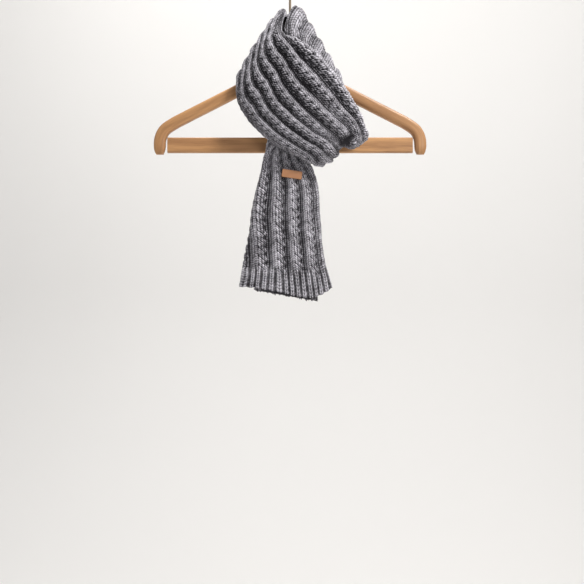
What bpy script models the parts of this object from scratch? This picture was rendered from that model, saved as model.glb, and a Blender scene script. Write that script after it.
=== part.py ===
"""A chunky ribbed knit scarf, crossed once at the front, hanging on a wooden coat hanger.

The scarf is one flat strip of knitting with eight raised ribs.  It passes behind the
hanger's hook as a collar.  One end comes down in front as the front tail.  The other
end crosses over it as a wide band, turns round at the right and hangs behind as the
back tail.  Every stretch is a cloth wall over the same surface, which is worked out
from rows of cross sections.

Run with: blender --background --python part.py
Lengths in the tables are millimetres, in the world frame: +X right, -Y front, +Z up,
with the origin at the inside top of the hook, where a rail or a nail carries it.
"""

import math
from collections import namedtuple

import bmesh
import bpy
import numpy as np
from mathutils import Matrix

MM = 0.001

# ---------------------------------------------------------------- driving sizes, mm
SCARF_RIBS = 8            # raised ribs across the strip
WALL = 3.0                # wall in the furrows between the ribs
RIB_HEIGHT = 5.6          # how far a rib's crest stands above the furrow
HEM_RIBS_PER_RIB = 3      # narrow hem ribs for each wide one
HEM_WALL = 3.6
HEM_RIB_HEIGHT = 2.6
SEAM_GAP = 0.6            # between neighbouring stretches

LABEL_LENGTH = 28.0
LABEL_HEIGHT = 11.0
LABEL_THICKNESS = 1.4
LABEL_TILT = -8.5         # degrees, seen from the front
LABEL_CENTRE = (2.8, -310.5)
LABEL_PRESS = 1.6         # the knit gives this much under the tab

ARM_HEIGHT = 17.0
ARM_THICKNESS = 14.0
NECK_HEIGHT = 28.0
BAR_TOP = -253.0
BAR_HEIGHT = 22.0
BAR_THICKNESS = 9.0
BAR_RECESS = 2.7          # the arm's inner side curves in this much above the bar
FIT_GAP = 0.3

HOOK_WIRE = 3.4           # diameter
HOOK_INNER_RADIUS = 18.0
HOOK_SINK = 20.0          # how deep the shank sits in the wood

# ------------------------------------------------------------- the strip's cross sections
# Each row is one section across the strip, in order from the front hem to the back hem.
# turn    which way the ribbed face looks: 0 front, 90 up and right, 180 back,
#         270 up and left, 360 front again, 450 down and right, 540 back
# xi..zi  the inner long edge (next to the hook), xo..zo the outer long edge
# bulge   how far the section arches out of the line between its edges
# roll_i, roll_o   how far each long edge is rolled back, in degrees
# radius  inner radius of both rolls
# tuck_i, tuck_o   how many ribs are gathered in each roll
# lean    how far the middle ribs lie towards the outer edge, in ribs
# crease  depth of the sharp fold along the fourth rib
# stand   how high the ribs stand, as a share of their full height
Row = namedtuple("Row", "turn xi yi zi xo yo zo bulge roll_i roll_o radius tuck_i tuck_o lean crease stand")

FRONT_TAIL = [
    Row(0, -66, -28, -466, 54, -28, -468, 9, 150, 150, 5.5, 1.6, 1.6, 0.1, 0, 1.0),
    Row(0, -62, -28, -440, 47, -28, -442, 9, 150, 150, 5.5, 1.6, 1.6, 0.1, 0, 1.0),
    Row(0, -56, -28, -405, 41, -28, -405, 9, 145, 145, 5.5, 1.6, 1.6, 0.2, 0, 1.0),
    Row(0, -49, -28, -363, 38, -28, -363, 8, 130, 130, 5.5, 1.4, 1.4, 0.2, 0, 1.0),
    Row(0, -41, -27, -325, 36, -27, -325, 8, 90, 80, 5.5, 1.0, 0.9, 0.2, 0, 1.0),
    Row(0, -36, -24, -301, 30, -24, -303, 7, 55, 20, 5.5, 0.6, 0.2, 0.1, 0, 1.0),
    Row(0, -33, -22, -280, 24, -23, -284, 6, 30, 0, 5.5, 0.3, 0.0, 0.0, 0, 1.0),
]
RIGHT_STRAND = [
    Row(0, -28, -22, -258, 28, -22, -266, 6, 10, 0, 5.0, 0.1, 0.0, 0.0, 0, 1.0),
    Row(0, -24, -22, -238, 36, -22, -253, 6, 10, 0, 4.5, 0.1, 0.0, 0.0, 0, 1.0),
    Row(0, -19, -22, -217, 45, -22, -241, 7, 30, 0, 4.0, 0.3, 0.0, 0.0, 0, 0.9),
    Row(0, -14, -22, -195, 53, -22, -230, 7, 50, 0, 3.5, 0.7, 0.0, 0.0, 0, 0.8),
    Row(0, -10, -21, -173, 60, -22, -219, 7, 70, 0, 3.0, 1.3, 0.0, 0.0, 0, 0.7),
    Row(0, -7, -19.5, -151, 65, -22, -209, 7, 80, 0, 2.8, 1.9, 0.0, 0.0, 0, 0.6),
    Row(5, -5, -16.5, -131, 69, -21, -199, 7, 90, 0, 2.5, 2.4, 0.0, 0.0, 0, 0.55),
    Row(15, -6, -13.5, -107, 71, -18, -190, 6, 90, 0, 2.5, 2.7, 0.0, 0.0, 0, 0.5),
    Row(45, -1.5, -11, -84, 72, -14, -179, 5, 90, 0, 2.5, 2.9, 0.1, 0.0, 0, 0.45),
    Row(90, 7.7, 0, -65.5, 69, 0, -171, 4, 90, 0, 2.5, 2.9, 0.2, 0.0, 0, 0.45),
]
COLLAR = [
    Row(135, 9, 11.5, -67.5, 66, 14, -177, 5, 90, 0, 2.5, 2.6, 0.1, 0.0, 0, 0.45),
    Row(165, 5, 17, -70.5, 40, 18, -188, 6, 80, 0, 2.5, 2.0, 0.0, 0.0, 0, 0.6),
    Row(180, -1, 19, -72.5, -1, 19, -192, 7, 80, 0, 2.5, 1.8, 0.0, 0.0, 0, 0.8),
    Row(195, -7, 17, -74, -42, 18, -188, 6, 80, 0, 2.5, 2.0, 0.0, 0.0, 0, 0.8),
    Row(225, -9, 12, -73, -68, 14, -177, 5, 90, 0, 2.5, 2.3, 0.1, 0.0, 0, 0.75),
]
FRONT_BAND = [
    Row(270, -8, 0, -72, -67, 0, -168.4, 5, 90, 10, 2.5, 2.3, 0.1, 0.0, 0, 0.7),
    Row(315, -12.5, -10.5, -86, -71, -16, -179, 7, 90, 20, 2.5, 1.9, 0.3, 0.0, 0, 0.75),
    Row(345, -14, -20.5, -102, -71, -20, -198, 9, 80, 60, 3.0, 1.1, 0.7, 0.0, 0, 0.85),
    Row(360, -9, -31, -116, -67, -22, -211, 11, 60, 80, 4.0, 0.8, 0.9, 0.0, 0, 1.0),
    Row(360, 7, -37, -127, -59, -27, -224, 12, 40, 90, 5.0, 0.4, 0.9, 0.0, 0, 1.0),
    Row(360, 25, -41, -140, -50, -33, -237, 11, 20, 90, 5.5, 0.2, 0.9, 0.4, 0, 1.0),
    Row(360, 43, -42, -156, -38, -39, -250, 10, 15, 90, 5.5, 0.2, 0.9, 0.7, 1, 1.0),
    Row(360, 59, -42, -176, -23, -45, -263, 9, 15, 80, 5.0, 0.2, 1.0, 0.7, 2, 1.0),
    Row(360, 73, -42, -196, -7, -46, -274, 9, 15, 70, 4.5, 0.2, 1.0, 0.6, 3, 1.0),
    Row(360, 85, -42, -215, 8, -46, -282, 8, 20, 65, 4.0, 0.3, 1.1, 0.5, 4, 1.0),
    Row(360, 96, -41, -233, 22, -45, -289, 8, 25, 60, 4.0, 0.4, 1.2, 0.2, 6, 1.0),
]
RIGHT_TURN = [
    Row(385, 101, -38, -246, 31, -42, -293, 7, 40, 50, 4.0, 0.5, 1.4, 0.0, 8, 1.0),
    Row(420, 105, -34, -251, 36, -37, -295, 5, 40, 40, 4.0, 0.5, 1.3, 0.0, 8, 0.85),
    Row(450, 107, -29, -253, 39, -30, -295, 4, 30, 30, 4.0, 0.4, 1.1, 0.0, 8, 0.8),
    Row(490, 102, -22, -251, 37, -23, -293, 3, 20, 20, 4.0, 0.2, 0.6, 0.0, 5, 0.8),
    Row(530, 90, -17, -241, 34, -17, -291, 2, 0, 10, 4.0, 0.0, 0.2, 0.0, 2, 1.0),
    Row(540, 70, -16, -226, 29, -16, -290, 2, 0, 0, 4.0, 0.0, 0.0, 0.0, 0, 1.0),
]
BACK_TAIL = [
    Row(540, 44, -16, -219, 24, -16, -293, 2, 0, 0, 4.0, 0.0, 0.0, 0.0, 0, 1.0),
    Row(540, 18, -16, -226, 19, -15, -300, 2, 0, 0, 4.0, 0.0, 0.0, 0.0, 0, 1.0),
    Row(540, -3, -16, -247, 17, -14, -311, 2, 10, 10, 4.5, 0.1, 0.1, 0.0, 0, 1.0),
    Row(540, -13, -15, -279, 17, -13, -326, 2, 40, 40, 5.0, 0.5, 0.5, 0.0, 0, 1.0),
    Row(540, -18, -13, -315, 18, -12, -347, 2, 70, 70, 5.5, 0.8, 0.8, 0.0, 0, 1.0),
    Row(540, -21, -12, -354, 20, -12, -376, 2, 80, 80, 5.5, 1.0, 1.0, 0.0, 0, 1.0),
    Row(540, -26, -12, -402, 25, -12, -413, 2, 80, 80, 5.5, 1.0, 1.0, 0.0, 0, 1.0),
    Row(540, -36, -12, -441, 31, -12, -452, 2, 80, 80, 5.5, 1.0, 1.0, 0.0, 0, 1.0),
    Row(540, -46, -12, -472, 34, -12, -486, 2, 80, 80, 5.5, 1.0, 1.0, 0.0, 0, 1.0),
]
ROWS = FRONT_TAIL + RIGHT_STRAND + COLLAR + FRONT_BAND + RIGHT_TURN + BACK_TAIL

CREASE_PLACE = 0.4375     # across the strip: the fourth rib's crest
CREASE_WIDTH = 0.10
CREASE_FLATTENS = 0.10    # share of the rib lost for each millimetre of crease
FULL_PITCH = 20.0         # ribs closer together than this stand lower
LEAST_RIB = 0.15          # but never lower than this share of their height
HEM_BLEND = 12.0          # the ribs sink towards the hem over this length
HEM_SINK = 0.45
HEM_DROP = 13.0           # the front hem hangs lower at its right
ARCH_POWER = 0.8          # 1 is an ellipse, less is squarer

# Stretches: name, first row, last row, stations along, points across a rib
Stretch = namedtuple("Stretch", "name first last steps across hem colour")
STRETCHES = [
    Stretch("front_hem", 0, 1, 3, 6, True, (0.150, 0.148, 0.158)),
    Stretch("front_tail", 1, 6, 9, 4, False, (0.165, 0.163, 0.174)),
    Stretch("right_strand", 6, 16, 15, 4, False, (0.185, 0.183, 0.194)),
    Stretch("collar", 16, 22, 11, 4, False, (0.150, 0.148, 0.158)),
    Stretch("front_band", 22, 32, 17, 4, False, (0.175, 0.173, 0.184)),
    Stretch("right_turn", 32, 38, 11, 4, False, (0.160, 0.158, 0.168)),
    Stretch("back_tail", 38, 46, 11, 4, False, (0.110, 0.108, 0.117)),
    Stretch("back_hem", 46, 47, 2, 6, True, (0.100, 0.098, 0.107)),
]


# --------------------------------------------------------------------- the strip's surface
def section_middle(row):
    """The point halfway between a section's two long edges."""
    return np.array([(row.xi + row.xo) / 2, (row.yi + row.yo) / 2, (row.zi + row.zo) / 2])


def path_places(rows):
    """How far along the strip each row lies, in millimetres of its middle line."""
    places = [0.0]
    for before, after in zip(rows, rows[1:]):
        step = np.linalg.norm(section_middle(after) - section_middle(before))
        turned = math.radians(after.turn - before.turn) * 12.0
        places.append(places[-1] + math.hypot(step, turned))
    return np.array(places)


PLACES = path_places(ROWS)
TABLE = np.array([list(row) for row in ROWS], dtype=float)


def table_slopes():
    """The slope of every column at every row, for a smooth curve through the rows."""
    slopes = np.zeros_like(TABLE)
    spans = np.diff(PLACES)[:, None]
    chords = np.diff(TABLE, axis=0) / spans
    slopes[0] = chords[0]
    slopes[-1] = chords[-1]
    slopes[1:-1] = (chords[:-1] * spans[1:] + chords[1:] * spans[:-1]) / (spans[1:] + spans[:-1])
    flat = (chords[:-1] * chords[1:]) <= 0
    slopes[1:-1][flat] = 0.0
    return slopes


SLOPES = table_slopes()


def row_at(place):
    """The section's values anywhere along the strip."""
    index = int(np.clip(np.searchsorted(PLACES, place) - 1, 0, len(PLACES) - 2))
    span = PLACES[index + 1] - PLACES[index]
    t = (place - PLACES[index]) / span
    h00 = 2 * t**3 - 3 * t**2 + 1
    h10 = t**3 - 2 * t**2 + t
    h01 = -2 * t**3 + 3 * t**2
    h11 = t**3 - t**2
    values = (h00 * TABLE[index] + h10 * span * SLOPES[index]
              + h01 * TABLE[index + 1] + h11 * span * SLOPES[index + 1])
    return Row(*values)


def section_outline(row):
    """One section's inner line as points in the plane of (along the chord, outwards)."""
    chord = math.hypot(row.xo - row.xi, row.yo - row.yi, row.zo - row.zi)
    radius = row.radius
    points = []
    for angle in np.linspace(max(row.roll_i, 0.0), 0.0, 10)[:-1]:
        a = math.radians(angle)
        points.append((radius - radius * math.cos(a), -radius * math.sin(a)))
    for angle in np.linspace(0.0, math.pi, 61):
        swing = -math.copysign(abs(math.cos(angle)) ** ARCH_POWER, math.cos(angle))
        rise = abs(math.sin(angle)) ** ARCH_POWER
        points.append((chord * (1 + swing) / 2, row.bulge * rise))
    for angle in np.linspace(0.0, max(row.roll_o, 0.0), 10)[1:]:
        a = math.radians(angle)
        points.append((chord - radius + radius * math.cos(a), -radius * math.sin(a)))
    return np.array(points)


def share_curve(row, length):
    """Shares of the width against length along the section: ribs tucked in rolls, and leaning."""
    roll_i = math.radians(max(row.roll_i, 0.0)) * row.radius
    roll_o = math.radians(max(row.roll_o, 0.0)) * row.radius
    tucked_i = max(row.tuck_i, 0.0) / SCARF_RIBS
    tucked_o = max(row.tuck_o, 0.0) / SCARF_RIBS
    flat = np.linspace(0.0, 1.0, 21)
    leant = flat + row.lean / SCARF_RIBS * np.sin(math.pi * flat)
    shares = tucked_i + 1e-6 + (1.0 - tucked_i - tucked_o - 2e-6) * flat
    lengths = roll_i + 1e-6 + (length - roll_i - roll_o - 2e-6) * leant
    return np.concatenate([[0.0], shares, [1.0]]), np.concatenate([[0.0], lengths, [length]])


def section_points(place, shares):
    """Points of the inner surface on one section, at the given shares of its width."""
    row = row_at(place)
    inner = np.array([row.xi, row.yi, row.zi])
    outer = np.array([row.xo, row.yo, row.zo])
    across = (outer - inner) / np.linalg.norm(outer - inner)
    back = np.array([0.0, 1.0, 0.0])
    front = -back + across * across[1]
    front /= np.linalg.norm(front)
    side = np.cross(front, across)
    if np.dot(side, np.array([-across[2], 0.0, across[0]])) < 0:
        side = -side
    turn = math.radians(row.turn)
    face = math.cos(turn) * front + math.sin(turn) * side
    outline = section_outline(row)
    steps = np.hypot(*np.diff(outline, axis=0).T)
    lengths = np.concatenate([[0.0], np.cumsum(steps)])
    wanted = np.interp(shares, *share_curve(row, lengths[-1]))
    along = np.interp(wanted, lengths, outline[:, 0])
    rise = np.interp(wanted, lengths, outline[:, 1])
    dent = np.exp(-((np.asarray(shares) - CREASE_PLACE) / CREASE_WIDTH) ** 2)
    rise = rise - row.crease * dent
    points = inner + np.outer(along, across) + np.outer(rise, face)
    hem = np.clip(1.0 - place / PLACES[1], 0.0, 1.0)
    hung = np.clip((np.asarray(shares) - 0.2) / 0.6, 0.0, 1.0)
    points[:, 2] -= HEM_DROP * np.sin(np.pi * hung ** 2) * hem
    return points


def surface_grid(places, shares):
    """Inner points and outward directions of the strip on a grid."""
    shares = np.asarray(shares)
    small = 0.004
    reach = 0.6
    points = np.array([section_points(p, shares) for p in places])
    ahead = np.array([section_points(p + reach, shares) for p in places])
    behind = np.array([section_points(p - reach, shares) for p in places])
    right = np.array([section_points(p, np.clip(shares + small, 0, 1)) for p in places])
    left = np.array([section_points(p, np.clip(shares - small, 0, 1)) for p in places])
    normals = np.cross(right - left, ahead - behind)
    normals /= np.linalg.norm(normals, axis=2, keepdims=True)
    return points, normals


def rib_relief(places, shares, points):
    """Thickness of the wall where eight wide ribs stand on it, at every grid point."""
    wave = 0.5 - 0.5 * np.cos(2 * np.pi * SCARF_RIBS * shares)
    pitch = np.linalg.norm(np.gradient(points, axis=1), axis=2) / np.gradient(shares) / SCARF_RIBS
    for _ in range(4):
        padded = np.pad(pitch, ((0, 0), (1, 1)), mode="edge")
        pitch = (padded[:, :-2] + padded[:, 1:-1] + padded[:, 2:]) / 3
    stand = np.array([row_at(place).stand for place in places])
    height = RIB_HEIGHT * stand[:, None] * np.clip(pitch / FULL_PITCH, LEAST_RIB, 1.0)
    crease = np.array([row_at(place).crease for place in places])
    dent = np.exp(-((shares - CREASE_PLACE) / CREASE_WIDTH) ** 2)
    height *= 1.0 - np.clip(CREASE_FLATTENS * np.outer(crease, dent), 0.0, 0.85)
    to_hem = np.minimum(places - PLACES[1], PLACES[-2] - places)
    sink = np.clip(to_hem / HEM_BLEND, 0.0, 1.0)
    height *= (HEM_SINK + (1.0 - HEM_SINK) * sink)[:, None]
    return WALL + height * wave[None, :] ** 0.8


def hem_relief(places, shares):
    """Thickness of the wall under the narrow ribs of a hem."""
    wave = 0.5 - 0.5 * np.cos(2 * np.pi * SCARF_RIBS * HEM_RIBS_PER_RIB * shares)
    return np.tile(HEM_WALL + HEM_RIB_HEIGHT * wave, (len(places), 1))


# --------------------------------------------------------------------------- making objects
def clear_scene():
    for item in list(bpy.data.objects):
        bpy.data.objects.remove(item, do_unlink=True)


def make_material(name, colour, roughness, metallic=0.0):
    material = bpy.data.materials.new(name)
    material.use_nodes = True
    shader = material.node_tree.nodes["Principled BSDF"]
    shader.inputs["Base Color"].default_value = (*colour, 1.0)
    shader.inputs["Roughness"].default_value = roughness
    shader.inputs["Metallic"].default_value = metallic
    return material


def add_object(name, data, material, location=(0.0, 0.0, 0.0)):
    item = bpy.data.objects.new(name, data)
    item.location = location
    data.materials.append(material)
    bpy.context.scene.collection.objects.link(item)
    return item


def finish_mesh(bm, name, material, sharp=50.0):
    bmesh.ops.triangulate(bm, faces=bm.faces)
    mesh = bpy.data.meshes.new(name)
    bm.to_mesh(mesh)
    bm.free()
    mesh.shade_smooth()
    mesh.set_sharp_from_angle(angle=math.radians(sharp))
    return add_object(name, mesh, material)


def flat_block(columns, rows):
    """A flat grid in the unit square, pulled up into a block one unit high."""
    bm = bmesh.new()
    bmesh.ops.create_grid(bm, x_segments=columns, y_segments=rows, size=0.5)
    bmesh.ops.translate(bm, verts=bm.verts, vec=(0.5, 0.5, 0.0))
    lower = list(bm.faces)
    pulled = bmesh.ops.extrude_face_region(bm, geom=lower, use_keep_orig=True)
    raised = [item for item in pulled["geom"] if isinstance(item, bmesh.types.BMVert)]
    bmesh.ops.translate(bm, verts=raised, vec=(0.0, 0.0, 1.0))
    bmesh.ops.recalc_face_normals(bm, faces=bm.faces)
    return bm


def cloth_wall(stretch):
    """One stretch of the strip: plain inside, ribs raised on the outside."""
    start = PLACES[stretch.first]
    end = PLACES[stretch.last]
    if stretch.first > 0:
        start += SEAM_GAP / 2
    if stretch.last < len(PLACES) - 1:
        end -= SEAM_GAP / 2
    columns = stretch.across * SCARF_RIBS
    places = np.linspace(start, end, stretch.steps + 1)
    shares = np.linspace(0.0, 1.0, columns + 1)
    points, normals = surface_grid(places, shares)
    relief = hem_relief(places, shares) if stretch.hem else rib_relief(places, shares, points)
    outer = points + normals * relief[:, :, None]
    bm = flat_block(columns, stretch.steps)
    for vert in bm.verts:
        column = round(vert.co.x * columns)
        row = round(vert.co.y * stretch.steps)
        source = outer if vert.co.z > 0.5 else points
        vert.co = source[row, column] * MM
    material = make_material(stretch.name + "_knit", stretch.colour, 0.95)
    return finish_mesh(bm, stretch.name, material)


def crest_depth(x, z, reach):
    """The foremost depth of the ribs round a point seen from the front, on the front tail."""
    shares = np.linspace(0.0, 1.0, 8 * SCARF_RIBS + 1)
    places = np.linspace(PLACES[3], PLACES[6], 50)
    points, normals = surface_grid(places, shares)
    crests = points + normals * rib_relief(places, shares, points)[:, :, None]
    near = (abs(crests[:, :, 0] - x) < reach) & (abs(crests[:, :, 2] - z) < reach)
    return crests[near, 1].min() + LABEL_PRESS


def leather_label():
    """A small leather tab lying on the crests of the front tail."""
    x, z = LABEL_CENTRE
    depth = crest_depth(x, z, LABEL_LENGTH / 2 + 1.0)
    tilt = math.radians(LABEL_TILT)
    bm = bmesh.new()
    bmesh.ops.create_cube(bm, size=1.0)
    bmesh.ops.scale(bm, verts=bm.verts, vec=(LABEL_LENGTH, LABEL_THICKNESS, LABEL_HEIGHT))
    corners = [edge for edge in bm.edges if abs(edge.verts[0].co.y - edge.verts[1].co.y) > 0.5]
    bmesh.ops.bevel(bm, geom=corners, offset=1.6, segments=2, profile=0.5, affect="EDGES", material=-1)
    bmesh.ops.rotate(bm, verts=bm.verts, cent=(0, 0, 0), matrix=Matrix.Rotation(-tilt, 3, "Y"))
    bmesh.ops.translate(bm, verts=bm.verts, vec=(x, depth - LABEL_THICKNESS / 2, z))
    bmesh.ops.scale(bm, verts=bm.verts, vec=(MM, MM, MM))
    material = make_material("label_leather", (0.48, 0.27, 0.15), 0.6)
    return finish_mesh(bm, "leather_label", material, sharp=30.0)


# --------------------------------------------------------------------------------- the hanger
# x, z of the middle line of the wood from the neck to the end of one arm
ARM_PATH = [(0.0, -151.0), (14.0, -153.5), (28.0, -161.0), (50.0, -173.0),
            (80.0, -188.5), (120.0, -209.0), (150.0, -224.3), (168.0, -234.0),
            (180.0, -243.0), (185.5, -254.0), (186.5, -266.0), (186.5, -277.0)]


def smooth_path(points, steps):
    """A smooth curve through plane points, evenly stepped along its length."""
    pts = np.array(points, dtype=float)
    lengths = np.concatenate([[0.0], np.cumsum(np.hypot(*np.diff(pts, axis=0).T))])
    slopes = np.gradient(pts, lengths, axis=0)
    result = []
    for place in np.linspace(0.0, lengths[-1], steps + 1):
        i = int(np.clip(np.searchsorted(lengths, place) - 1, 0, len(pts) - 2))
        span = lengths[i + 1] - lengths[i]
        t = (place - lengths[i]) / span
        result.append((2 * t**3 - 3 * t**2 + 1) * pts[i] + (t**3 - 2 * t**2 + t) * span * slopes[i]
                      + (3 * t**2 - 2 * t**3) * pts[i + 1] + (t**3 - t**2) * span * slopes[i + 1])
    return np.array(result)


def wood_half_height(x):
    """Half the height of the hanger's wood: tall at the neck, even along the arms."""
    blend = math.exp(-(x / 20.0) ** 2)
    return ARM_HEIGHT / 2 + (NECK_HEIGHT - ARM_HEIGHT) / 2 * blend


def hanger_arms():
    """Both arms and the neck: a rounded rail swept along the shoulder line."""
    half = smooth_path(ARM_PATH, 20)
    half[0] = ARM_PATH[0]
    path = np.concatenate([(half * (-1, 1))[::-1], half[1:]])
    tangents = np.gradient(path, axis=0)
    tangents /= np.linalg.norm(tangents, axis=1, keepdims=True)
    sides = 12
    columns = len(path) - 1
    bm = bmesh.new()
    rings = []
    for index, (point, tangent) in enumerate(zip(path, tangents)):
        end = min(index, columns - index)
        shrink = 0.72 if end == 0 else 1.0
        tall = wood_half_height(point[0]) * shrink
        deep = ARM_THICKNESS / 2 * shrink
        normal = (-tangent[1], tangent[0])
        made = bmesh.ops.create_circle(bm, segments=sides, radius=1.0)
        ring = made["verts"]
        for vert in ring:
            c, s = vert.co.x, vert.co.y
            up = math.copysign(abs(s) ** 0.55, s) * tall
            out = math.copysign(abs(c) ** 0.55, c) * deep
            vert.co = ((point[0] + normal[0] * up) * MM, out * MM, (point[1] + normal[1] * up) * MM)
        rings.append([edge for edge in bm.edges if edge.verts[0] in ring and edge.verts[1] in ring])
    for lower, upper in zip(rings, rings[1:]):
        bmesh.ops.bridge_loops(bm, edges=lower + upper)
    bmesh.ops.holes_fill(bm, edges=rings[0] + rings[-1], sides=sides)
    bmesh.ops.recalc_face_normals(bm, faces=bm.faces)
    wood = make_material("hanger_wood", (0.35, 0.17, 0.07), 0.5)
    body = finish_mesh(bm, "hanger_arms", wood, sharp=40.0)
    drill = bpy.data.meshes.new("hook_hole")
    cut = bmesh.new()
    bmesh.ops.create_cone(cut, cap_ends=True, segments=12, radius1=HOOK_WIRE / 2 * MM + FIT_GAP * MM,
                          radius2=HOOK_WIRE / 2 * MM + FIT_GAP * MM, depth=2 * HOOK_SINK * MM)
    cut.to_mesh(drill)
    cut.free()
    cutter = bpy.data.objects.new("hook_hole", drill)
    top = ARM_PATH[0][1] + NECK_HEIGHT / 2
    cutter.location = (0.0, 0.0, (top - FIT_GAP) * MM)
    cutter.hide_render = True
    cutter.display_type = "WIRE"
    bpy.context.scene.collection.objects.link(cutter)
    hole = body.modifiers.new("hook_hole", "BOOLEAN")
    hole.operation = "DIFFERENCE"
    hole.solver = "EXACT"
    hole.object = cutter
    return body


def hanger_bar():
    """The flat bar between the ends of the arms."""
    inner_face = ARM_PATH[-1][0] - ARM_HEIGHT / 2 - BAR_RECESS
    bm = bmesh.new()
    bmesh.ops.create_cube(bm, size=1.0)
    bmesh.ops.scale(bm, verts=bm.verts, vec=(2 * inner_face * MM, BAR_THICKNESS * MM, BAR_HEIGHT * MM))
    long_edges = [edge for edge in bm.edges
                  if abs(edge.verts[0].co.x - edge.verts[1].co.x) > inner_face * MM]
    bmesh.ops.bevel(bm, geom=long_edges, offset=2.5 * MM, segments=2, profile=0.5,
                    affect="EDGES", material=-1)
    bmesh.ops.translate(bm, verts=bm.verts, vec=(0.0, 0.0, (BAR_TOP - BAR_HEIGHT / 2) * MM))
    return finish_mesh(bm, "hanger_bar", make_material("bar_wood", (0.27, 0.12, 0.05), 0.5))


def hook_route():
    """The wire's middle line: shank, easy S bend, three quarters of a circle, tip."""
    radius = HOOK_INNER_RADIUS + HOOK_WIRE / 2
    centre = -HOOK_INNER_RADIUS
    leave = math.radians(-52.0)
    tip = math.radians(188.0)
    join = (radius * math.cos(leave), centre + radius * math.sin(leave))
    neck_top = ARM_PATH[0][1] + NECK_HEIGHT / 2
    foot = neck_top - HOOK_SINK + 2 * FIT_GAP
    bend_top = -52.0
    route = [(0.0, foot), (0.0, neck_top), (0.0, -90.0), (0.0, bend_top)]
    for step in range(1, 7):
        t = step / 7
        ease = t * t * (3 - 2 * t)
        route.append((join[0] * ease * (0.35 + 0.65 * t), bend_top + (join[1] - bend_top) * t))
    for step in range(25):
        angle = leave + (tip - leave) * step / 24
        route.append((radius * math.cos(angle), centre + radius * math.sin(angle)))
    return route


def wire_hook():
    """The bent wire hook that carries the hanger."""
    data = bpy.data.curves.new("hanger_hook", "CURVE")
    data.dimensions = "3D"
    data.bevel_depth = HOOK_WIRE / 2 * MM
    data.bevel_resolution = 2
    data.use_fill_caps = True
    route = hook_route()
    spline = data.splines.new("POLY")
    spline.points.add(len(route) - 1)
    for point, (x, z) in zip(spline.points, route):
        point.co = (x * MM, 0.0, z * MM, 1.0)
    return add_object("hanger_hook", data, make_material("hook_wire", (0.55, 0.44, 0.32), 0.3, 1.0))


def main():
    clear_scene()
    for stretch in STRETCHES:
        cloth_wall(stretch)
    leather_label()
    hanger_arms()
    hanger_bar()
    wire_hook()


main()
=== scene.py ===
"""A chunky ribbed knit scarf on a wooden hanger: the finish of every visible surface.

The scarf is one strip of mock-cable rib knitting.  Every stretch of it is a closed cloth
shell over the same surface that its solid has, with the stitches raised in its outer face.
Lengths in the tables are millimetres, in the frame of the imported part: +X right, -Y front,
+Z up, with the origin at the inside top of the hook.
"""

import math
from collections import namedtuple

import bmesh
import bpy
import numpy as np
from mathutils import Matrix, Vector


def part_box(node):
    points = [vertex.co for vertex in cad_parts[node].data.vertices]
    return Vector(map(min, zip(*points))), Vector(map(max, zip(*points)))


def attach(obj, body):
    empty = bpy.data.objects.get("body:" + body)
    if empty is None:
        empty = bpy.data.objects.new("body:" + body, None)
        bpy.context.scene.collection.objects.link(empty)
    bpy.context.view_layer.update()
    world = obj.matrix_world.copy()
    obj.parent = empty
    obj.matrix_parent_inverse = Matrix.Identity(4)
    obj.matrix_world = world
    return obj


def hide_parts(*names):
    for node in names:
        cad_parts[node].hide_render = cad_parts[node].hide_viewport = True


bl_info = {
    "name": "Ribbed knit scarf on a hanger",
    "version": (1, 0, 0),
    "blender": (4, 5, 0),
    "location": "3D View > Sidebar > Scarf",
    "description": "Knits the scarf, finishes its hanger and sets the studio round it",
    "category": "Object",
}

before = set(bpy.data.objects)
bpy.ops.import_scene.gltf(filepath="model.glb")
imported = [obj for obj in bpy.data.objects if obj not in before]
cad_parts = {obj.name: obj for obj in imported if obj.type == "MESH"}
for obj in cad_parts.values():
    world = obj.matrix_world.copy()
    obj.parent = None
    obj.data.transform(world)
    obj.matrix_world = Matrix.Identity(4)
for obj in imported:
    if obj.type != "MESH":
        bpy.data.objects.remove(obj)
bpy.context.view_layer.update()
MM = 0.001

# ---- the strip's cross sections
# Each row is one section across the strip, from the front hem to the back hem.
# turn    which way the ribbed face looks: 0 front, 90 up and right, 180 back,
#         270 up and left, 360 front again, 450 down and right, 540 back
# xi..zi  the inner long edge (next to the hook), xo..zo the outer long edge
# bulge   how far the section arches out of the line between its edges
# roll_i, roll_o   how far each long edge is rolled back, in degrees
# radius  inner radius of both rolls
# tuck_i, tuck_o   how many ribs are gathered in each roll
# lean    how far the middle ribs lie towards the outer edge, in ribs
# crease  depth of the sharp fold along the fourth rib
# stand   how high the ribs stand, as a share of their full height; left out it is 1
Row = namedtuple("Row", "turn xi yi zi xo yo zo bulge roll_i roll_o radius tuck_i tuck_o"
                        " lean crease stand", defaults=(0, 0, 1))

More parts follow.
